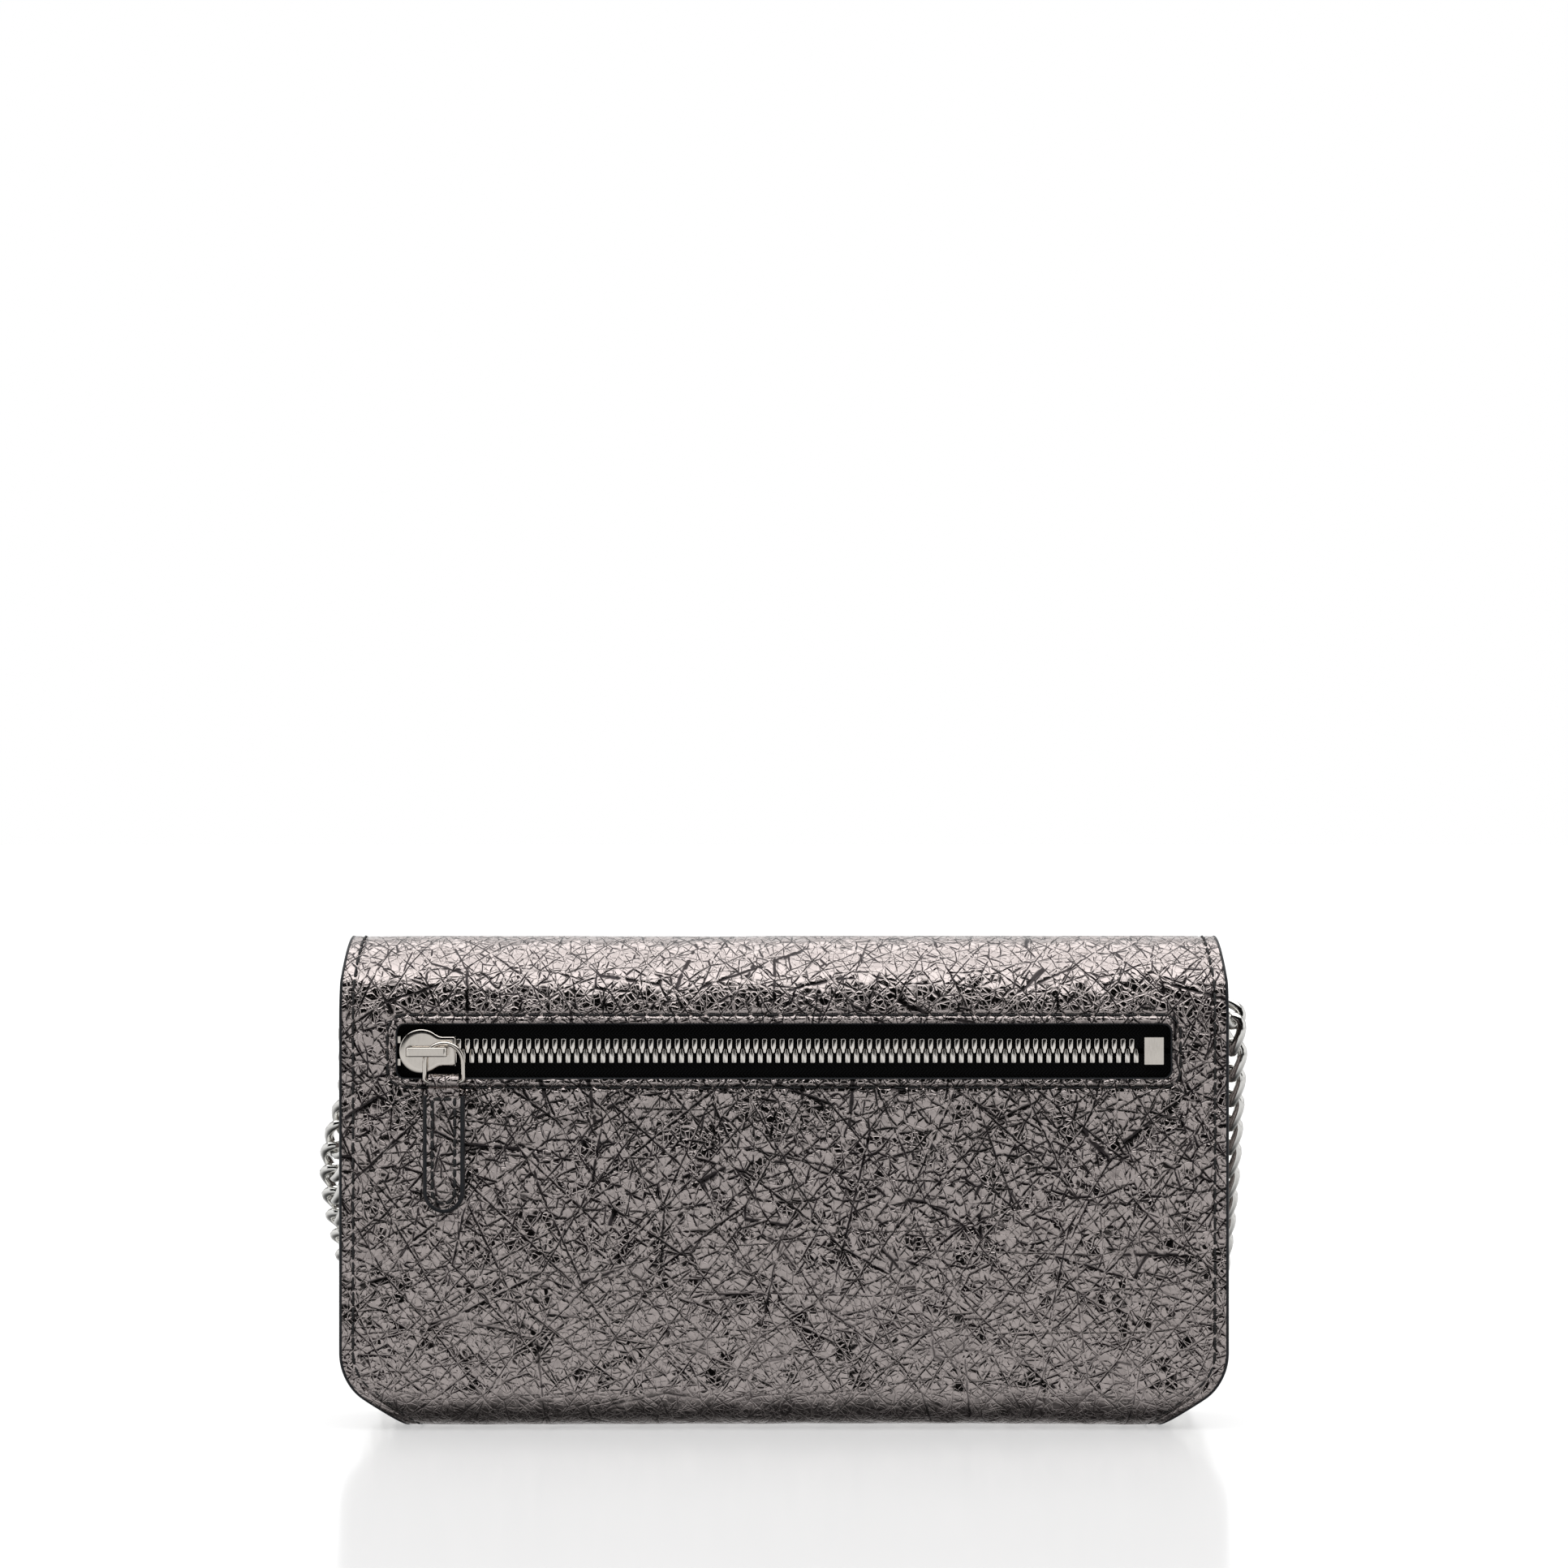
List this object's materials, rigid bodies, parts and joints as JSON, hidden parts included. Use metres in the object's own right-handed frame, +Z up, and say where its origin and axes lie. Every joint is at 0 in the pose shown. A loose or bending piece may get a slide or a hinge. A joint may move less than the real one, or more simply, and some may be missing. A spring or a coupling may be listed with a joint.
{
  "type": "chain wallet",
  "caption": "Flap wallet with a zipped back pocket, a gusseted card compartment with a press stud, and a curb-chain strap wound up behind it.",
  "frame": {"origin": "on the ground, under the middle of the rolled top", "axes": "+X along the width, -Y the back face with the zip, +Y the flap, +Z up"},
  "size_m": [0.2031, 0.0981, 0.105],
  "materials": {
    "pewter_leather": "crinkled metallic pewter leather, dark painted edges",
    "lining": "black woven lining",
    "pocket_leather": "smooth black leather",
    "stiffener": "fibre board, hidden",
    "zip_tape": "black herringbone tape",
    "zip_teeth": "polished warm nickel",
    "hardware": "polished nickel plate",
    "chain": "polished silver-tone curb links",
    "chain_wound": null,
    "tie": "black coated twist tie"
  },
  "bodies": {
    "body": {"back_panel": "pewter_leather", "window_reinforcement": "stiffener", "zip_tape_upper": "zip_tape", "zip_tape_lower": "zip_tape", "zip_teeth_upper": "zip_teeth", "zip_teeth_lower": "zip_teeth", "zip_bottom_stop": "hardware", "zip_top_stops": "hardware", "zip_pocket_front": "lining", "zip_pocket_back": "lining", "back_board": "stiffener", "back_lining": "lining", "top_lining": "lining", "card_slot_left_top": "pocket_leather", "card_slot_left_middle": "pocket_leather", "card_slot_left_bottom": "pocket_leather", "card_slot_right_top": "pocket_leather", "card_slot_right_middle": "pocket_leather", "card_slot_right_bottom": "pocket_leather", "bottom_board": "lining", "gusset_left": "pewter_leather", "gusset_right": "pewter_leather", "dring_tab_left": "pewter_leather", "dring_tab_right": "pewter_leather", "dring_left": "hardware", "dring_right": "hardware", "chain_run_left": "chain", "chain_run_right": "chain", "chain_hank": "chain_wound", "chain_tie": "tie"},
    "front_wall": {"front_panel": "pewter_leather", "front_board": "stiffener", "front_lining": "lining", "front_slip_pocket": "pocket_leather", "snap_stud": "hardware", "snap_stud_plate": "hardware"},
    "flap": {"flap_leather": "pewter_leather", "flap_board": "stiffener", "flap_lining": "lining", "snap_socket": "hardware", "snap_socket_plate": "hardware"},
    "zip_slider": {"slider_body": "hardware", "slider_bridge": "hardware"},
    "pull_ring": {"pull_ring": "hardware"},
    "pull_tab": {"tab_loop": "pewter_leather", "tab_front": "pewter_leather", "tab_back": "pewter_leather"}
  },
  "joints": [
    {"name": "flap_hinge", "type": "hinge", "parent": "body", "child": "flap", "pos_m": [0, 0, 0.105], "axis": [1, 0, 0], "range_deg": [0, 180]},
    {"name": "mouth_hinge", "type": "hinge", "parent": "body", "child": "front_wall", "pos_m": [0, 0.0034, 0], "axis": [-1, 0, 0], "range_deg": [0, 8]},
    {"name": "zip_slide", "type": "slide", "parent": "body", "child": "zip_slider", "axis": [1, 0, 0], "range_m": [0, 0.146], "deforming": ["zip_tape_upper", "zip_tape_lower", "zip_teeth_upper", "zip_teeth_lower"]},
    {"name": "ring_swing", "type": "hinge", "parent": "zip_slider", "child": "pull_ring", "pos_m": [-0.0722, -0.0189, 0.081], "axis": [0, 1, 0], "range_deg": [-75, 30]},
    {"name": "tab_lift", "type": "hinge", "parent": "pull_ring", "child": "pull_tab", "pos_m": [-0.0725, -0.0189, 0.0747], "axis": [-1, 0, 0], "range_deg": [0, 120]}
  ],
  "couplings": [
    {"joint": "mouth_hinge", "follows": "flap_hinge", "ratio": 0.04444}
  ]
}
